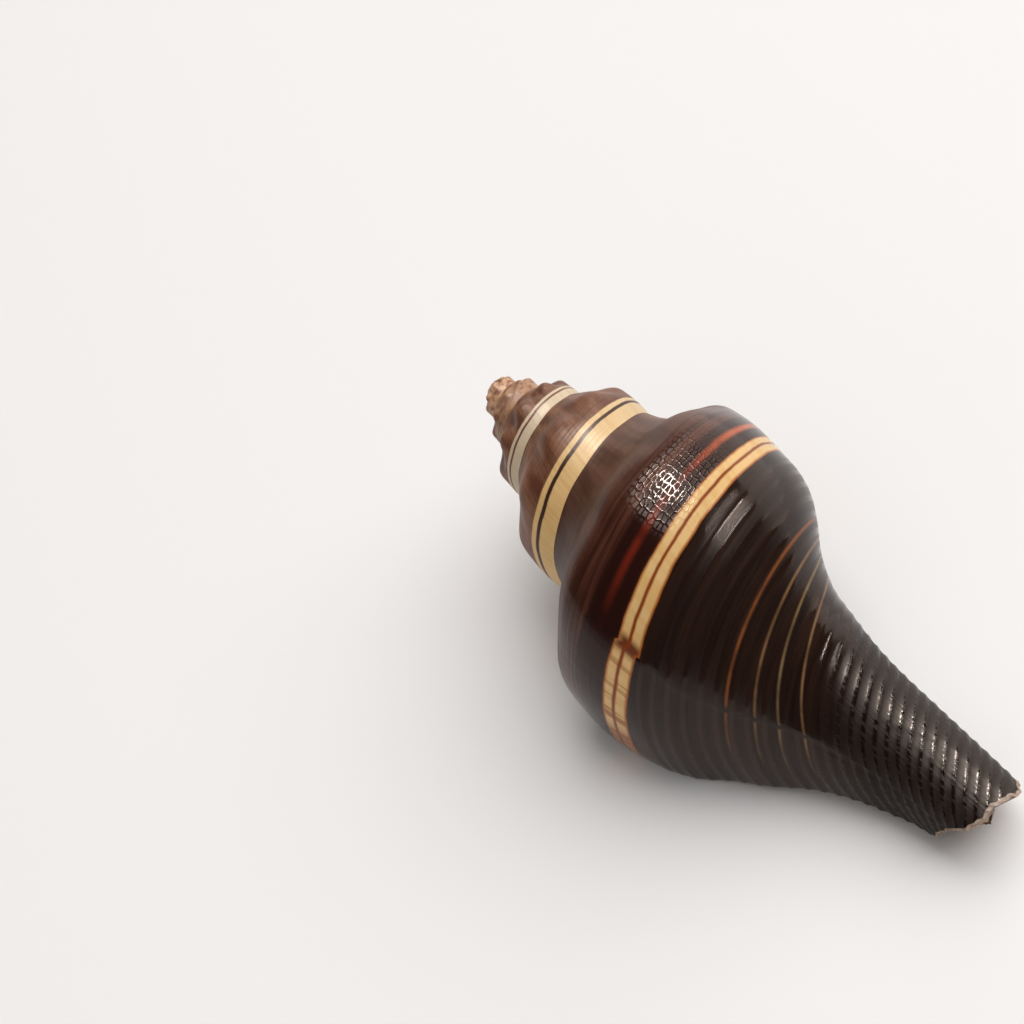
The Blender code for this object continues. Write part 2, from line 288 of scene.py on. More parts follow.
def base_relief(turns, place, down):
    """Narrow-crested spiral cords, (half + half a cosine) to the power 2.5, higher past the break
    and on the canal, where finer cords lie on them; the break; and the canal's low ridge, which
    rises slowly, e to the -(way before it / width), and ends in a step."""
    below = (place - 1.0) * BASE_UNIT
    phase = TURN * below / CORD_SPACING
    crest = 1.3 * (0.5 + 0.5 * np.cos(phase)) ** 2.5 - 0.4
    after_scar = smooth_step(0.0, 0.01, turns - scar_angle(place))
    strength = 0.26 + 0.36 * after_scar + 0.9 * smooth_step(1.35, 1.7, place)
    fine = FINE_CORD_SHARE * np.cos(3.0 * phase + 1.0) * smooth_step(*CANAL_STARTS, place)
    cords = CORD_HEIGHT * (strength * crest + fine)
    fasciole = -0.008 - 0.085 * smooth_step(1.8, 2.2, place)
    before = np.maximum(fasciole - turns, 0.0)
    ridge = FASCIOLE_HEIGHT * np.exp(-before / FASCIOLE_WIDTH)
    ridge = ridge * (1.0 - smooth_step(-0.004, 0.02, turns - fasciole))
    ridge = ridge * smooth_step(1.7, 2.05, place)
    start = smooth_step(0.0, 0.03, down)
    opening = (LIP_ANGLE - TURN) / TURN
    clear_of_opening = smooth_step(opening, opening + 0.06, turns)
    return (cords + scar_relief(turns, place) + ridge) * start * clear_of_opening


class Weave:
    """Points, faces and their growth places, gathered from grids and stitches into one mesh."""

    def __init__(self):
        self.points = np.zeros((0, 3))
        self.faces = []
        self.places = []
        self.finishes = []

    def add_points(self, points):
        """Adds points and gives their numbers in the same grid."""
        numbers = len(self.points) + np.arange(points[..., 0].size).reshape(points.shape[:-1])
        self.points = np.concatenate([self.points, points.reshape(-1, 3)])
        return numbers

    def add_faces(self, faces, places, finish):
        """Adds faces whose corners have the given (turns, place).  A four-cornered face with two
        corners on one point becomes a triangle, and a flatter one is dropped."""
        repeated = faces == np.roll(faces, 1, axis=1)
        whole = ~repeated.any(axis=1)
        self.keep(faces[whole], places[whole], finish)
        if faces.shape[1] == 4:
            once = repeated.sum(axis=1) == 1
            left = ~repeated[once]
            self.keep(faces[once][left].reshape(-1, 3), places[once][left].reshape(-1, 3, 2), finish)

    def keep(self, faces, places, finish):
        """Keeps faces with their corners' places and their finish."""
        self.faces += faces.tolist()
        self.places.append(places.reshape(-1, 2))
        self.finishes.append(np.full(len(faces), finish))

    def add_grid(self, numbers, turns, place, finish):
        """Four-cornered faces between neighbouring columns and rows."""
        spot = np.stack([np.broadcast_to(part, numbers.shape) for part in (turns, place)], axis=-1)
        corners = [(slice(None, -1), slice(None, -1)), (slice(None, -1), slice(1, None)),
                   (slice(1, None), slice(1, None)), (slice(1, None), slice(None, -1))]
        faces = np.stack([numbers[corner].ravel() for corner in corners], axis=1)
        places = np.stack([spot[corner].reshape(-1, 2) for corner in corners], axis=1)
        self.add_faces(faces, places, finish)

    def zip_edges(self, first, second, finish, turns=0.0, place=(0.0, 1.0)):
        """Triangles between two edges of different fineness: each edge's points are spread evenly
        from 0 to 1 and taken in turn, and each new point makes a triangle with the last of both."""
        here = np.linspace(0.0, 1.0, len(first))
        there = np.linspace(0.0, 1.0, len(second))
        partner = np.searchsorted(there[1:], here[1:], side="left")
        one = np.stack([first[:-1], first[1:], second[partner]], axis=1)
        partner_back = np.searchsorted(here[1:], there[1:], side="right")
        other = np.stack([first[partner_back], second[1:], second[:-1]], axis=1)
        faces = np.concatenate([one, other])
        down = np.concatenate([here[1:], there[1:]])
        down = place[0] + (place[1] - place[0]) * down
        places = np.stack([np.full((len(faces), 3), turns), np.repeat(down[:, None], 3, axis=1)], axis=-1)
        self.add_faces(faces, places, finish)

    def fan(self, rim, centre, finish, turns=0.0, place=0.0):
        """Triangles from each side of a closed rim to one point."""
        faces = np.stack([rim, np.roll(rim, -1), np.full(len(rim), centre)], axis=1)
        places = np.full((len(faces), 3, 2), (turns, place))
        self.add_faces(faces, places, finish)

    def make(self, name):
        """The mesh object, with its faces turned outwards, smooth, and its growth places as a UV map."""
        mesh = bpy.data.meshes.new(name)
        mesh.from_pydata(self.points, [], self.faces)
        layer = mesh.uv_layers.new(name=GROWTH_MAP)
        layer.data.foreach_set("uv", np.concatenate(self.places).ravel())
        mesh.polygons.foreach_set("material_index", np.concatenate(self.finishes))
        work = bmesh.new()
        work.from_mesh(mesh)
        bmesh.ops.recalc_face_normals(work, faces=work.faces)
        work.to_mesh(mesh)
        work.free()
        mesh.shade_smooth()
        mesh.set_sharp_from_angle(angle=SHARP_EDGE)
        thing = bpy.data.objects.new(name, mesh)
        bpy.context.scene.collection.objects.link(thing)
        return thing


GROWTH_MAP = "growth"
OUTSIDE, INSIDE, WORN = 0, 1, 2


def weave_outside(weave):
    """The outside: a strip of five turns whose lower edge is the next turn's upper edge, with the
    base under its last turn.  Gives the numbers of the strip's and the base's points."""
    steps = STRIP_TURNS * STEPS_PER_TURN
    angle = (LIP_ANGLE - TURN * np.arange(steps, -1, -1) / STEPS_PER_TURN)[:, None]
    place = np.linspace(0.0, 1.0, WHORL_ROWS + 1)[None, :]
    radius, depth = whorl_place(angle, place)
    radius, depth = raise_along_normal(radius, depth, whorl_relief(angle / TURN, place))
    points = to_points(radius, angle, depth)
    strip = np.zeros(radius.shape, dtype=int)
    strip[:, 1:] = weave.add_points(points[:, 1:])
    strip[:STEPS_PER_TURN, 0] = weave.add_points(points[:STEPS_PER_TURN, 0])
    strip[STEPS_PER_TURN:, 0] = strip[:-STEPS_PER_TURN, -1]
    weave.add_grid(strip, angle / TURN, place, OUTSIDE)

    last = angle[-STEPS_PER_TURN - 1:]
    down = np.linspace(0.0, 1.0, BASE_ROWS + 1)[None, :]
    radius, depth = base_place(last, down)
    place = 1.0 + (depth - depth[:, :1]) / BASE_UNIT
    radius, depth = raise_along_normal(radius, depth, base_relief(last / TURN, place, down))
    base = np.zeros(radius.shape, dtype=int)
    base[:, 1:] = weave.add_points(to_points(radius, last, depth)[:, 1:])
    base[:, 0] = strip[-STEPS_PER_TURN - 1:, -1]
    weave.add_grid(base[:, :-WORN_ROWS], last / TURN, place[:, :-WORN_ROWS], OUTSIDE)
    weave.add_grid(base[:, -WORN_ROWS - 1:], last / TURN, place[:, -WORN_ROWS - 1:], WORN)
    return strip, base


def weave_apex(weave, strip):
    """A cap over the strip's start: from the first turn's upper edge and the first column."""
    rim = np.concatenate([strip[:STEPS_PER_TURN, 0], strip[0, ::-1][:-1]])
    top = weave.points[strip[:STEPS_PER_TURN, 0]].mean(axis=0)
    top[2] = weave.points[rim, 2].max() + 0.15 * MM
    centre = weave.add_points(top[None, :])[0]
    weave.fan(rim, centre, OUTSIDE, turns=-STRIP_TURNS + LIP_ANGLE / TURN, place=0.5)


def section_line(angle):
    """Radius and depth of the plain outside at some angles, from the seam to the canal's end."""
    down = np.linspace(0.0, 1.0, PROFILE_ROWS)[None, :]
    whorl = whorl_place(angle, down)
    base = base_place(angle, down[:, 1:])
    return np.concatenate([whorl[0], base[0]], axis=1), np.concatenate([whorl[1], base[1]], axis=1)


def look_up(x, xs, ys):
    """Row by row, the value of the curve (xs, ys) at x, on straight pieces."""
    return np.stack([np.interp(a, b, c) for a, b, c in zip(x, xs, ys)])


def wall_thickness(angle):
    """Thin at the lip's edge, and full some way behind it."""
    behind = smooth_step(LIP_ANGLE, LIP_ANGLE - LIP_THINS_OVER, angle)
    return LIP_WALL + (WALL * np.minimum(growth(angle), 1.0) - LIP_WALL) * behind


def hollow_sections(angle):
    """Radius and depth of the hollow's two sides at some angles, top to bottom: the outer one is
    the outside moved in by the wall, and the inner one is the older whorl's outside.  At the roof,
    and at the floor where there is one, both draw in to their middle."""
    outer_radius, outer_depth = section_line(angle)
    inner_radius, inner_depth = section_line(angle - TURN)
    top = suture(angle - TURN)[1] + NOTCH_DEPTH * growth(angle)
    back = suture(angle)[1] + HOLLOW_BOTTOM * growth(angle)
    end = canal_end(angle)
    bottom = back + (end - back) * smooth_step(CANAL_CHANNEL_FROM, CANAL_CHANNEL_TO, angle)
    share = np.linspace(0.0, 1.0, HOLLOW_ROWS)[None, :]
    depth = top + (np.minimum(bottom, end) - top) * share
    slope = np.gradient(outer_radius, axis=1) / np.gradient(outer_depth, axis=1)
    slope = np.clip(slope, -STEEPEST_WALL, STEEPEST_WALL)
    thickness = wall_thickness(angle) * np.sqrt(1.0 + look_up(depth, outer_depth, slope) ** 2)
    outside = look_up(depth, outer_depth, outer_radius) - thickness
    sunk = INTO_OLDER_WHORL * smooth_step(LIP_ANGLE, LIP_ANGLE - 0.3, angle)
    inside = look_up(depth, inner_depth, inner_radius) - sunk
    inside = np.minimum(inside, outside - SHALLOWEST_HOLLOW)
    closed = 1.0 - smooth_step(CANAL_CHANNEL_TO - 0.2, CANAL_CHANNEL_TO, angle)
    roof_pinch = PINCH + (1.0 - PINCH) * smooth_step(0.0, 0.06, share) ** 0.5
    floor_pinch = PINCH + (1.0 - PINCH) * smooth_step(1.0, 0.94, share) ** 0.5
    pinch = roof_pinch * (1.0 - closed * (1.0 - floor_pinch))
    middle = 0.5 * (outside + inside)
    return middle + (outside - middle) * pinch, middle + (inside - middle) * pinch, depth


def weave_rim(weave, edge, thickness):
    """The lip's rounded edge: a half circle from the outside's last column to the inner wall.
    Gives the numbers of its rows, from the outer edge to the inner one."""
    across = weave.points[edge]
    axis_out = across.copy()
    axis_out[:, 2] = 0.0
    along = np.gradient(across, axis=0)
    forward = np.stack([-np.sin(LIP_ANGLE), -np.cos(LIP_ANGLE), 0.0])
    inward = np.cross(along, forward)
    inward /= np.linalg.norm(inward, axis=1, keepdims=True)
    inward *= -np.sign(np.sum(inward * axis_out, axis=1, keepdims=True))
    turn = np.linspace(0.0, math.pi, RIM_ROWS + 1)[1:, None, None]
    half = 0.5 * thickness[None, :, None]
    points = across + inward * half * (1.0 - np.cos(turn)) + forward * half * np.sin(turn)
    rows = weave.add_points(points[:, 1:])
    rows = np.concatenate([np.full((RIM_ROWS, 1), edge[0]), rows], axis=1)
    return np.concatenate([edge[None, :], rows])


def weave_hollow(weave, strip, base):
    """The aperture: the lip's rim, the hollow's walls back round the axis, the face under the seam,
    and the canal's end with its open slot, all stitched to the outside."""
    lip = np.concatenate([strip[-1], base[-1, 1:]])
    columella = base[0]
    depth = -weave.points[lip, 2] / MM
    top = float(suture(LIP_ANGLE - TURN)[1] + NOTCH_DEPTH * growth(LIP_ANGLE))
    seam = depth[0]
    full = float(wall_thickness(LIP_ANGLE)) * MM
    thickness = full * smooth_step(seam - 0.5, top + 2.0, depth)
    rim = weave_rim(weave, lip, thickness)
    lip_place = np.concatenate([np.linspace(0.0, 1.0, WHORL_ROWS + 1),
                                1.0 + (depth[WHORL_ROWS + 1:] - depth[WHORL_ROWS]) / BASE_UNIT])
    weave.add_grid(rim, LIP_ANGLE / TURN, lip_place[None, :], INSIDE)

    turn_step = TURN / HOLLOW_STEPS_PER_TURN
    before_slot = int(round((LIP_ANGLE - CANAL_CHANNEL_TO) / turn_step))
    stations = int(HOLLOW_TURNS * HOLLOW_STEPS_PER_TURN)
    angle = (LIP_ANGLE - turn_step * (np.arange(stations + 1)))[:, None]
    angle[0] -= 0.25 * turn_step
    outer, inner, depths = hollow_sections(angle)
    outer_side = weave.add_points(to_points(outer, angle, depths))
    inner_side = weave.add_points(to_points(inner, angle, depths))
    share = np.linspace(0.0, 1.0, HOLLOW_ROWS)[None, :]
    weave.add_grid(outer_side, angle / TURN, share, INSIDE)
    weave.add_grid(inner_side, angle / TURN, share, INSIDE)
    roof = np.stack([inner_side[:, 0], outer_side[:, 0]], axis=1)
    weave.add_grid(roof, angle / TURN, 0.0, INSIDE)
    floor = np.stack([outer_side[:, -1], inner_side[:, -1]], axis=1)[before_slot:]
    weave.add_grid(floor, angle[before_slot:] / TURN, 1.0, INSIDE)
    end_ring = np.concatenate([outer_side[-1], inner_side[-1, ::-1]])
    end_centre = weave.add_points(weave.points[end_ring].mean(axis=0)[None, :])[0]
    weave.fan(end_ring, end_centre, INSIDE, turns=float(angle[-1, 0]) / TURN, place=0.5)

    inner_rim = rim[-1]
    first_rim = int(np.searchsorted(depth, top))
    columella_depth = -weave.points[columella, 2] / MM
    first_columella = int(np.searchsorted(columella_depth, top))
    lip_turns = LIP_ANGLE / TURN
    above = (inner_rim[:first_rim + 1], columella[:first_columella + 1])
    weave.zip_edges(*above, INSIDE, lip_turns, (0.0, 0.0))
    weave.zip_edges(inner_rim[first_rim:], outer_side[0], INSIDE, lip_turns)
    weave.zip_edges(inner_side[0], columella[first_columella:], INSIDE, lip_turns)
    corner = [inner_rim[first_rim], outer_side[0, 0], inner_side[0, 0], columella[first_columella]]
    weave.add_faces(np.array([corner]), np.full((1, 4, 2), (lip_turns, 0.0)), INSIDE)

    slot = float(angle[before_slot, 0])
    base_angles = LIP_ANGLE - TURN * np.arange(STEPS_PER_TURN, -1, -1) / STEPS_PER_TURN
    cut = int(np.argmin(np.abs(base_angles - slot)))
    end_edge = base[:, -1]
    slot_outer = np.concatenate([outer_side[:before_slot + 1, -1][::-1], inner_rim[-1:]])
    weave.zip_edges(end_edge[cut:], slot_outer, WORN)
    arc = rim[:, -1]
    middle_of_arc = np.full(len(arc) - 2, arc[0])
    rim_fan = np.stack([arc[1:-1], arc[2:], middle_of_arc], axis=1)
    weave.add_faces(rim_fan, np.zeros((len(rim_fan), 3, 2)), WORN)
    slot_inner = inner_side[:before_slot + 1, -1][::-1]
    loop = np.concatenate([end_edge[:cut + 1], outer_side[before_slot, -1:], slot_inner])
    heart_angle = np.array([slot - HEART_BEFORE_SLOT])
    heart = to_points(np.array([HEART_RADIUS]), heart_angle, canal_end(heart_angle) - 1.0)
    weave.fan(loop, weave.add_points(heart)[0], WORN)


def resting_turn():
    """The turn that lays the shell down: about its axis, over, and round on the table."""
    lay = Euler((0.0, LEAN, HEADING)).to_matrix() @ Matrix.Rotation(ROLL, 3, "Z")
    return np.array(lay)


def resting_shift(turned, box):
    """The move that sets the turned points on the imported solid's box: the same middle, seen from
    above, and the same lowest point."""
    low, high = np.array(box[0]), np.array(box[1])
    shift = 0.5 * (low + high) - 0.5 * (turned.min(axis=0) + turned.max(axis=0))
    shift[2] = low[2] - turned[:, 2].min()
    return shift


def make_camera(turn, shift):
    """A camera that sees the apex at its pixel and the axis at its slope in the frame."""
    slope_x, slope_y = math.cos(AXIS_SLOPE), math.sin(AXIS_SLOPE)
    level, forward = math.cos(AXIS_FORWARD), math.sin(AXIS_FORWARD)
    up = np.array([-slope_x * level, -slope_y * level, forward])
    side = np.array([-slope_x * forward, -slope_y * forward, -level])
    third = np.array([slope_y, -slope_x, 0.0])
    view = np.stack([side, third, up], axis=1)
    apex = np.array([APEX_PIXEL[0] - FRAME_PIXELS / 2, APEX_PIXEL[1] - FRAME_PIXELS / 2, FOCAL_PIXELS])
    apex *= APEX_DISTANCE / FOCAL_PIXELS
    to_world = turn @ view.T
    place = turn @ (-view.T @ apex) + shift
    frame = np.eye(4)
    frame[:3, 0] = to_world[:, 0]
    frame[:3, 1] = -to_world[:, 1]
    frame[:3, 2] = -to_world[:, 2]
    frame[:3, 3] = place
    camera_data = bpy.data.cameras.new("camera")
    camera_data.sensor_width = SENSOR
    camera_data.lens = FOCAL_PIXELS / FRAME_PIXELS * SENSOR
    camera_data.clip_start = 0.01
    camera = bpy.data.objects.new("camera", camera_data)
    camera.matrix_world = Matrix(frame.tolist())
    bpy.context.scene.collection.objects.link(camera)
    bpy.context.scene.camera = camera


class Value:
    """An output of a material's node.  Python's + - * / on it add Math nodes, with a number or
    another value on either side."""

    def __init__(self, recipe, socket):
        self.recipe = recipe
        self.socket = socket

    def calculate(self, operation, first, second):
        return self.recipe.add("ShaderNodeMath", {"operation": operation}, {0: first, 1: second})

    def __add__(self, other):
        return self.calculate("ADD", self, other)

    def __sub__(self, other):
        return self.calculate("SUBTRACT", self, other)

    def __rsub__(self, other):
        return self.calculate("SUBTRACT", other, self)

    def __mul__(self, other):
        return self.calculate("MULTIPLY", self, other)

    def __truediv__(self, other):
        return self.calculate("DIVIDE", self, other)

    __radd__ = __add__
    __rmul__ = __mul__


class Recipe:
    """One material, made of nodes."""

    def __init__(self, name):
        self.material = bpy.data.materials.new(name)
        self.material.use_nodes = True
        self.tree = self.material.node_tree
        self.shader = self.tree.nodes["Principled BSDF"]

    def add(self, kind, settings=None, sockets=None, output=0):
        """A node of a kind, its settings first and then its sockets' values or links."""
        node = self.tree.nodes.new(kind)
        for name, setting in (settings or {}).items():
            setattr(node, name, setting)
        for key, value in (sockets or {}).items():
            self.plug(node.inputs[key], value)
        return Value(self, node.outputs[output])

    def plug(self, socket, value):
        """A link from a value, or a constant on the socket itself."""
        if isinstance(value, Value):
            self.tree.links.new(value.socket, socket)
        else:
            socket.default_value = value

    def finish(self, **sockets):
        """Sets the surface's sockets; base_color stands for Base Color."""
        for name, value in sockets.items():
            self.plug(self.shader.inputs[name.replace("_", " ").title().replace("Ior", "IOR")], value)
        return self.material

    def growth_place(self):
        """The growth angle in turns, and the place across the whorl, from the UV map."""
        growth_map = self.add("ShaderNodeUVMap", {"uv_map": GROWTH_MAP})
        turns = self.add("ShaderNodeSeparateXYZ", None, {0: growth_map}, 0)
        place = self.add("ShaderNodeSeparateXYZ", None, {0: growth_map}, 1)
        return turns, place

    def step(self, value, low, high):
        """0 below low, 1 above high, and smooth between; low may be the larger."""
        return self.add("ShaderNodeMapRange", {"interpolation_type": "SMOOTHSTEP"},
                        {"Value": value, "From Min": low, "From Max": high})

    def band(self, value, low, high, soft):
        """1 between low and high, 0 outside, with edges as wide as soft."""
        return self.step(value, low - soft, low + soft) * (1 - self.step(value, high - soft, high + soft))

    def noise(self, along, across, detail=2.0):
        """Cloudy noise from 0 to 1 whose grain is one unit of along and one of across."""
        spot = self.add("ShaderNodeCombineXYZ", None, {0: along, 1: across})
        return self.add("ShaderNodeTexNoise", {"noise_dimensions": "2D"},
                        {"Vector": spot, "Scale": 1.0, "Detail": detail})

    def crests(self, place):
        """1 along the tops of the base's spiral cords, else 0."""
        cords = (place - 1.0) * (BASE_UNIT / CORD_SPACING)
        off_crest = self.add("ShaderNodeMath", {"operation": "PINGPONG"}, {0: cords, 1: 0.5})
        return self.step(off_crest, 0.28, 0.06)

    def net(self, along, across):
        """1 on the threads of an uneven net, else 0; its cells are about 1.25 along and 0.8 across."""
        spot = self.add("ShaderNodeCombineXYZ", None, {0: along / 1.25, 1: across / 0.8})
        edge = self.add("ShaderNodeTexVoronoi", {"feature": "DISTANCE_TO_EDGE", "voronoi_dimensions": "2D"},
                        {"Vector": spot, "Scale": 1.0, "Randomness": 0.55})
        return self.step(edge, 0.24, 0.06)

    def mix(self, share, first, second):
        """A colour: first at share 0, second at share 1."""
        return self.add("ShaderNodeMix", {"data_type": "RGBA"}, {0: share, 6: first, 7: second}, 2)

    def bump(self, height):
        """A bent normal from a height in millimetres."""
        return self.add("ShaderNodeBump", None, {"Height": height, "Distance": MM, "Strength": 1.0})


def paint(red, green, blue):
    """A colour as a screen shows it, 0 to 255, as the linear colour that shaders take."""
    shown = np.array([red, green, blue]) / 255.0
    linear = np.where(shown <= 0.04045, shown / 12.92, ((shown + 0.055) / 1.055) ** 2.4)
    return (*linear.tolist(), 1.0)


# Tan lines on the base: where each starts (mm below the band), how far it drops in a turn, its half
# width (mm), and its colour; their edges' softness (mm); and the growth, in turns, where they level
TAN_LINES = ((11.6, 2.2, 0.17, (140, 78, 38)), (14.8, 6.5, 0.13, (142, 104, 70)),
             (17.4, 9.7, 0.14, (136, 110, 76)), (20.6, 11.7, 0.14, (142, 106, 72)))
TAN_SOFTNESS = 0.22
TAN_LEVELS_AT = 0.13


def banded_shell():
    """The polished outside: brown above, dark below, with cream bands at the widest part."""
    recipe = Recipe("polished_banded_shell")
    turns, place = recipe.growth_place()
    body = recipe.step(turns, -0.7, -0.3)
    past_scar = turns - recipe.step(place, 0.85, 1.25) * SCAR_LAG - SCAR_PLACE
    after_scar = recipe.step(past_scar, -0.0015, 0.0015)
    shift = after_scar * (0.016 + past_scar * 0.35 + past_scar * past_scar * 1.1)
    wobble = (recipe.noise(turns * 25.0, place * 6.0, 4.0) - 0.5) * 0.017
    mark = place + shift + wobble
    band_bottom = 1.06 - body * 0.075
    base = recipe.step(mark, band_bottom - 0.01, band_bottom + 0.01)
    canal = recipe.step(place, *CANAL_STARTS)
    slant = turns - place * 0.035
    line_growth = recipe.noise(slant * 120.0, place * 1.6, 3.0)
    cloud = recipe.noise(slant * 26.0, place * 1.8, 4.0)
    streak = recipe.noise(turns * 5.0, place * 30.0, 3.0)

    colour = brown_whorls(recipe, turns, mark, body, (line_growth, cloud, streak))
    base_colour = recipe.mix(recipe.step(streak, 0.35, 0.7), paint(28, 14, 9), paint(42, 25, 18))
    crest_share = recipe.crests(place) * (after_scar * 0.4 + 0.15)
    base_colour = recipe.mix(crest_share, base_colour, paint(62, 43, 35))
    base_colour = recipe.mix(canal * 0.75, base_colour, paint(18, 7, 4))
    colour = recipe.mix(base, colour, base_colour)
    callus = recipe.band(turns, -0.8, -0.665 + (cloud - 0.5) * 0.03, 0.012)
    callus = callus * recipe.step(place, 1.0, 1.03)
    colour = recipe.mix(callus * 0.85, colour, paint(146, 96, 64))
    colour = paint_bands(recipe, colour, turns, mark, body, band_bottom, past_scar, line_growth)
    colour = paint_tan_lines(recipe, colour, turns, place, past_scar, cloud)
    patches = recipe.noise(turns * 22.0, place * 5.0, 3.0)
    tip = recipe.mix(recipe.step(patches, 0.25, 0.65), paint(134, 86, 66), paint(206, 160, 122))
    colour = recipe.mix(recipe.step(turns, -2.5, -3.5), colour, tip)

    net = recipe.net(turns * 157.0, place * 32.0)
    netted = recipe.band(place, 0.60, 0.88, 0.05) * recipe.band(turns, -0.115, 0.0, 0.02)
    smooth = recipe.step(place, 0.42, 0.60) * body
    ramp_foot = recipe.band(place, 0.22, 0.46, 0.12) * body
    roughness = 0.40 - smooth * 0.28 + ramp_foot * 0.12 - base * 0.04
    beads = recipe.step(recipe.noise(turns * 110.0, place * 22.0), 0.34, 0.56)
    roughness = roughness + canal * (0.44 - recipe.crests(place) * beads * 0.40)
    roughness = roughness + netted * (1 - net) * 0.62
    grooves = recipe.band(place, 1.03, 1.5, 0.03) * (1 - recipe.crests(place)) * (1 - after_scar)
    roughness = roughness + grooves * 0.18
    roughness = roughness + recipe.noise(turns * 30.0, place * 12.0) * 0.06
    roughness = roughness + base * (recipe.noise(turns * 6.0, place * 90.0) - 0.5) * 0.08

    pebbles = recipe.noise(turns * 125.0, place * 34.0) * netted
    striae = (streak - 0.5) * (0.05 - base * 0.045)
    striae = striae + (line_growth - 0.5) * (canal * 0.05 + 0.03 - base * 0.018)
    striae = striae + net * netted * 0.03 + pebbles * 0.05
    return recipe.finish(base_color=colour, roughness=roughness, normal=recipe.bump(striae),
                         specular_ior_level=0.31, specular_tint=(1.0, 0.9, 0.84, 1.0))


def brown_whorls(recipe, turns, mark, body, grains):
    """The whorls above the base: a mottled spire, a browner last whorl with growth lines and spiral
    streaks and painted shade towards the lip, dark below its shoulder, and a red band in the dark with a
    painted glow away from the lip."""
    line_growth, cloud, streak = grains
    spire = recipe.mix(recipe.step(cloud, 0.3, 0.7), paint(96, 54, 34), paint(138, 92, 66))
    ramp = recipe.mix(recipe.step(cloud, 0.3, 0.7), paint(72, 43, 31), paint(100, 66, 50))
    colour = recipe.mix(recipe.step(turns, -0.45, 0.0), spire, ramp)
    colour = recipe.mix(recipe.step(line_growth, 0.45, 0.75) * 0.35, colour, paint(66, 34, 20))
    colour = recipe.mix(recipe.step(streak, 0.5, 0.75) * 0.3, colour, paint(58, 30, 20))
    # Painted shade: the last whorl is painted darker and redder towards the lip, on its shaded side.
    colour = recipe.mix(recipe.step(turns, 0.02, 0.14) * 0.75, colour, paint(58, 26, 15))
    below_shoulder = recipe.step(mark, 0.36, 0.6)
    shade = recipe.mix(recipe.step(streak, 0.38, 0.68), paint(52, 23, 15), paint(88, 50, 38))
    colour = recipe.mix(below_shoulder * body * 0.85, colour, shade)
    colour = recipe.mix(recipe.band(mark, 0.69, 0.87, 0.02) * body, colour, paint(40, 15, 10))
    red_band = recipe.band(mark, 0.757, 0.792, 0.016) * body * recipe.step(turns, 0.14, 0.02)
    # The red band is dark red near the lip and painted brighter and more orange further back: its own red
    # with a painted glow on the lit side.
    red = recipe.mix(recipe.step(turns, -0.04, -0.16), paint(112, 34, 16), paint(190, 92, 48))
    red = recipe.mix(recipe.step(cloud, 0.4, 0.7), red, paint(64, 20, 11))
    return recipe.mix(red_band, colour, red)


def paint_bands(recipe, colour, turns, mark, body, band_bottom, past_scar, line_growth):
    """The two cream bands and the red-brown line between them, over a colour.  Past the break they
    carry slanting brown streaks, and the break itself stains them dark."""
    cream = recipe.mix(recipe.step(line_growth, 0.3, 0.8), paint(232, 192, 130), paint(224, 178, 112))
    pale = recipe.mix(recipe.step(line_growth, 0.3, 0.8), paint(214, 194, 164), paint(204, 182, 150))
    cream = recipe.mix(recipe.step(turns, -0.9, -1.4), cream, pale)
    orange = paint(150, 78, 26)
    streaks = recipe.step(line_growth, 0.52, 0.66) * recipe.step(past_scar, -0.002, 0.012)
    cream = recipe.mix(streaks * 0.8, cream, orange)
    cream = recipe.mix(recipe.step(past_scar, 0.09, 0.13) * 0.8, cream, orange)
    bruise = recipe.band(past_scar, -0.009, 0.007, 0.005) * recipe.step(mark, 0.84, 0.9)
    cream = recipe.mix(bruise * 0.95, cream, paint(104, 38, 12))
    thin_middle = 0.76 + body * 0.131
    thin_half = 0.034 - body * 0.0105
    thin_top = thin_middle - thin_half
    thick_top = 0.835 + body * 0.096
    whole = recipe.band(mark, thin_top, band_bottom, 0.003)
    between = recipe.band(mark, thin_middle + thin_half, thick_top, 0.006)
    edge = recipe.mix(body, paint(96, 60, 48), paint(168, 90, 34))
    middle_line = recipe.mix(body, paint(58, 30, 22), paint(140, 60, 18))
    middle_line = recipe.mix(recipe.step(turns, -1.2, -1.8), middle_line, paint(112, 68, 56))
    creamy = recipe.band(mark, thin_top + 0.008, band_bottom - 0.010, 0.008)
    fill = recipe.mix(creamy, edge, cream)
    fill = recipe.mix(between, fill, middle_line)
    shown = whole * (1 - recipe.step(turns, -2.4, -3.1))
    return recipe.mix(shown, colour, fill)


def paint_tan_lines(recipe, colour, turns, place, past_scar, cloud):
    """The base's tan lines over a colour, each broken at the break in growth and faint in patches."""
    levelled = recipe.add("ShaderNodeMath", {"operation": "MINIMUM"}, {0: turns, 1: TAN_LEVELS_AT})
    seen = recipe.step(turns, -0.45, -0.35) * (1 - recipe.band(past_scar, -0.004, 0.004, 0.003))
    seen = seen * (recipe.step(cloud, 0.25, 0.6) * 0.5 + 0.5) * recipe.step(turns, 0.24, 0.12)
    for start, slope, half_width, tint in TAN_LINES:
        middle = (levelled * slope + start) / BASE_UNIT + 1.0
        half = half_width / BASE_UNIT
        line = recipe.band(place, middle - half, middle + half, TAN_SOFTNESS / BASE_UNIT)
        colour = recipe.mix(line * seen, colour, paint(*tint))
    return colour


def inner_glaze():
    """The aperture's smooth glaze: brown at the lip's edge, cream and orange further in."""
    recipe = Recipe("aperture_glaze")
    turns, place = recipe.growth_place()
    lip_turns = LIP_ANGLE / TURN
    inside = recipe.step(turns, lip_turns - 0.004, lip_turns - 0.06)
    colour = recipe.mix(inside, paint(86, 46, 28), paint(214, 168, 118))
    colour = recipe.mix(recipe.noise(turns * 9.0, place * 9.0) * 0.5, colour, paint(188, 122, 78))
    colour = recipe.mix(recipe.step(place, 0.72, 0.92), colour, paint(116, 84, 66))
    return recipe.finish(base_color=colour, roughness=0.16)


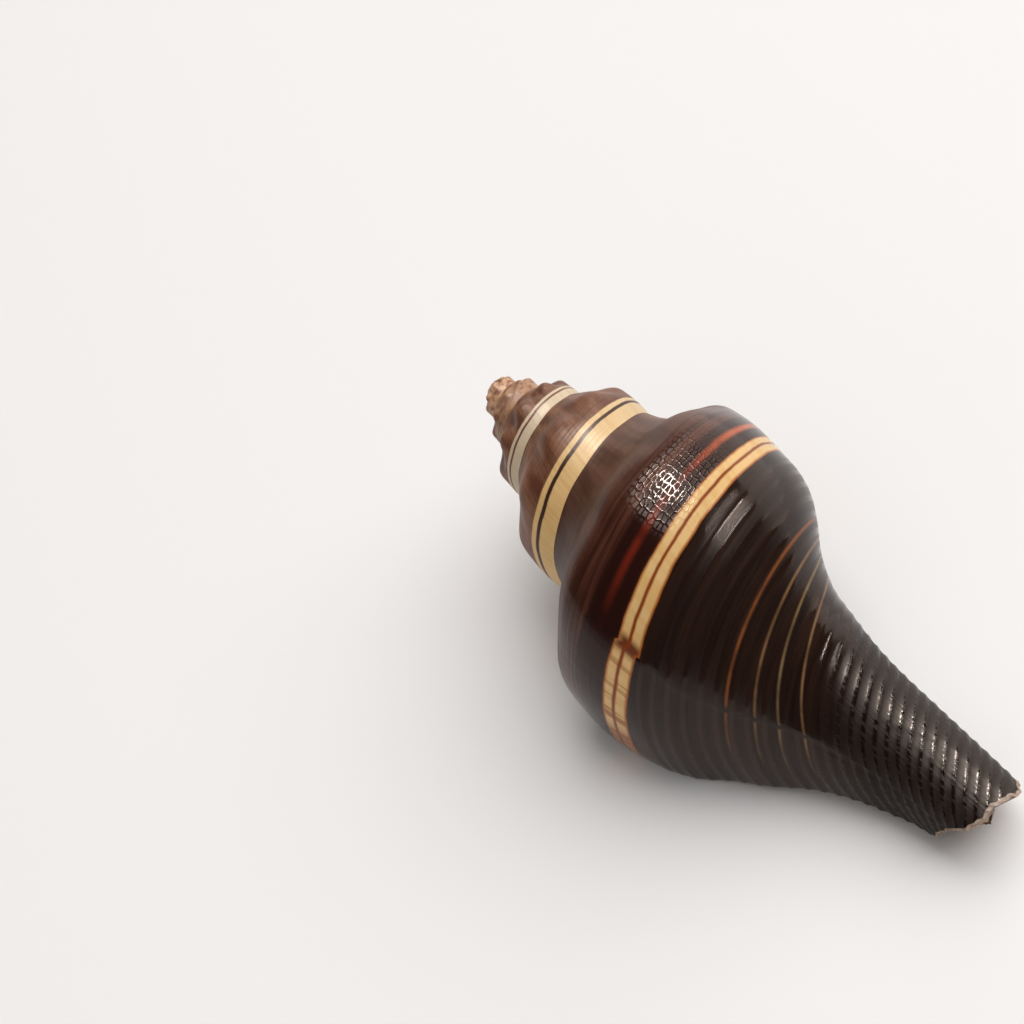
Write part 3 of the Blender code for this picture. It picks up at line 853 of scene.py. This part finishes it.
def worn_edge():
    """The worn canal end: matt, pale and uneven."""
    recipe = Recipe("worn_shell")
    spot = recipe.add("ShaderNodeTexCoord", None, None, 3)
    patches = recipe.add("ShaderNodeTexNoise", None, {"Vector": spot, "Scale": 1500.0, "Detail": 4.0})
    colour = recipe.mix(recipe.step(patches, 0.35, 0.75), paint(172, 150, 130), paint(112, 82, 64))
    return recipe.finish(base_color=colour, roughness=0.6, normal=recipe.bump(patches * 0.15))


LIT_POINT = Vector((0.0, 0.0, 0.02))
GLOSS_COLOUR = (1.0, 0.93, 0.87)
LIGHT_COLOUR = (1.0, 0.985, 0.975)
ROOM_GREY = 0.07
FLOOR_HALF_SIDE = 3.0


def soft_light(name, low_end, high_end, width, power, only_in_gloss):
    """A rectangular light whose height runs between two ends, facing the shell; either it lights
    things and no gloss mirrors it, or it is only there for gloss to mirror."""
    low_end, high_end = Vector(low_end), Vector(high_end)
    middle = 0.5 * (low_end + high_end)
    back = (middle - LIT_POINT).normalized()
    along = high_end - low_end
    upright = (along - along.project(back)).normalized()
    facing = Matrix((upright.cross(back), upright, back)).transposed()
    lamp = bpy.data.lights.new(name, "AREA")
    lamp.shape = "RECTANGLE"
    lamp.size = width
    lamp.size_y = along.length
    lamp.energy = power
    lamp.color = GLOSS_COLOUR if only_in_gloss else LIGHT_COLOUR
    light = bpy.data.objects.new(name, lamp)
    light.matrix_world = Matrix.Translation(middle) @ facing.to_4x4()
    light.visible_glossy = only_in_gloss
    light.visible_diffuse = not only_in_gloss
    bpy.context.scene.collection.objects.link(light)


def around(azimuth, elevation, distance):
    """A place seen from the origin at an azimuth (0 is +X, 90 is +Y) and an elevation in degrees."""
    azimuth, elevation = math.radians(azimuth), math.radians(elevation)
    level = distance * math.cos(elevation)
    return (level * math.cos(azimuth), level * math.sin(azimuth), distance * math.sin(elevation))


def light_the_table():
    """Two wide soft lights that no gloss mirrors, and three that only gloss mirrors: a window and a
    strip up behind the shell, and a pale backdrop for its far side.  The room is otherwise dim."""
    soft_light("overhead", (-0.1, -0.3, 2.1), (-0.1, 2.3, 1.2), 2.8, 58.0, only_in_gloss=False)
    soft_light("fill", (0.6, -2.0, 0.8), (0.6, -0.2, 2.2), 2.4, 10.0, only_in_gloss=False)
    for name, low, high, distance, width, power in (
            ("window", (130.0, 63.0), (106.0, 82.0), 1.2, 0.24, 34.0),
            ("strip", (81.0, 41.0), (34.0, 66.0), 1.3, 0.012, 4.5),
            ("backdrop", (112.0, -6.0), (112.0, 36.0), 1.8, 3.4, 22.0)):
        soft_light(name, around(*low, distance), around(*high, distance), width, power, only_in_gloss=True)
    world = bpy.data.worlds.new("studio")
    world.use_nodes = True
    world.node_tree.nodes["Background"].inputs[0].default_value = (ROOM_GREY, ROOM_GREY, ROOM_GREY, 1.0)
    bpy.context.scene.world = world
    bpy.context.scene.view_settings.view_transform = "Standard"


def make_floor():
    """A wide pale floor at z = 0."""
    mesh = bpy.data.meshes.new("floor")
    half = FLOOR_HALF_SIDE
    corners = [(-half, -half, 0), (half, -half, 0), (half, half, 0), (-half, half, 0)]
    mesh.from_pydata(corners, [], [(0, 1, 2, 3)])
    floor = bpy.data.objects.new("floor", mesh)
    bpy.context.scene.collection.objects.link(floor)
    recipe = Recipe("pale_floor")
    mesh.materials.append(recipe.finish(base_color=(0.895, 0.88, 0.87, 1.0), roughness=0.6,
                                        specular_ior_level=0.05))


def main():
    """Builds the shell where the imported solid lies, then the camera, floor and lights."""
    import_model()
    weave = Weave()
    strip, base = weave_outside(weave)
    weave_apex(weave, strip)
    weave_hollow(weave, strip, base)
    turn = resting_turn()
    weave.points = weave.points @ turn.T
    shift = resting_shift(weave.points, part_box("shell"))
    weave.points = weave.points + shift
    shell = weave.make("pugilina_shell")
    for material in (banded_shell(), inner_glaze(), worn_edge()):
        shell.data.materials.append(material)
    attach(shell, "root")
    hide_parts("shell")
    make_camera(turn, shift)
    make_floor()
    light_the_table()


main()
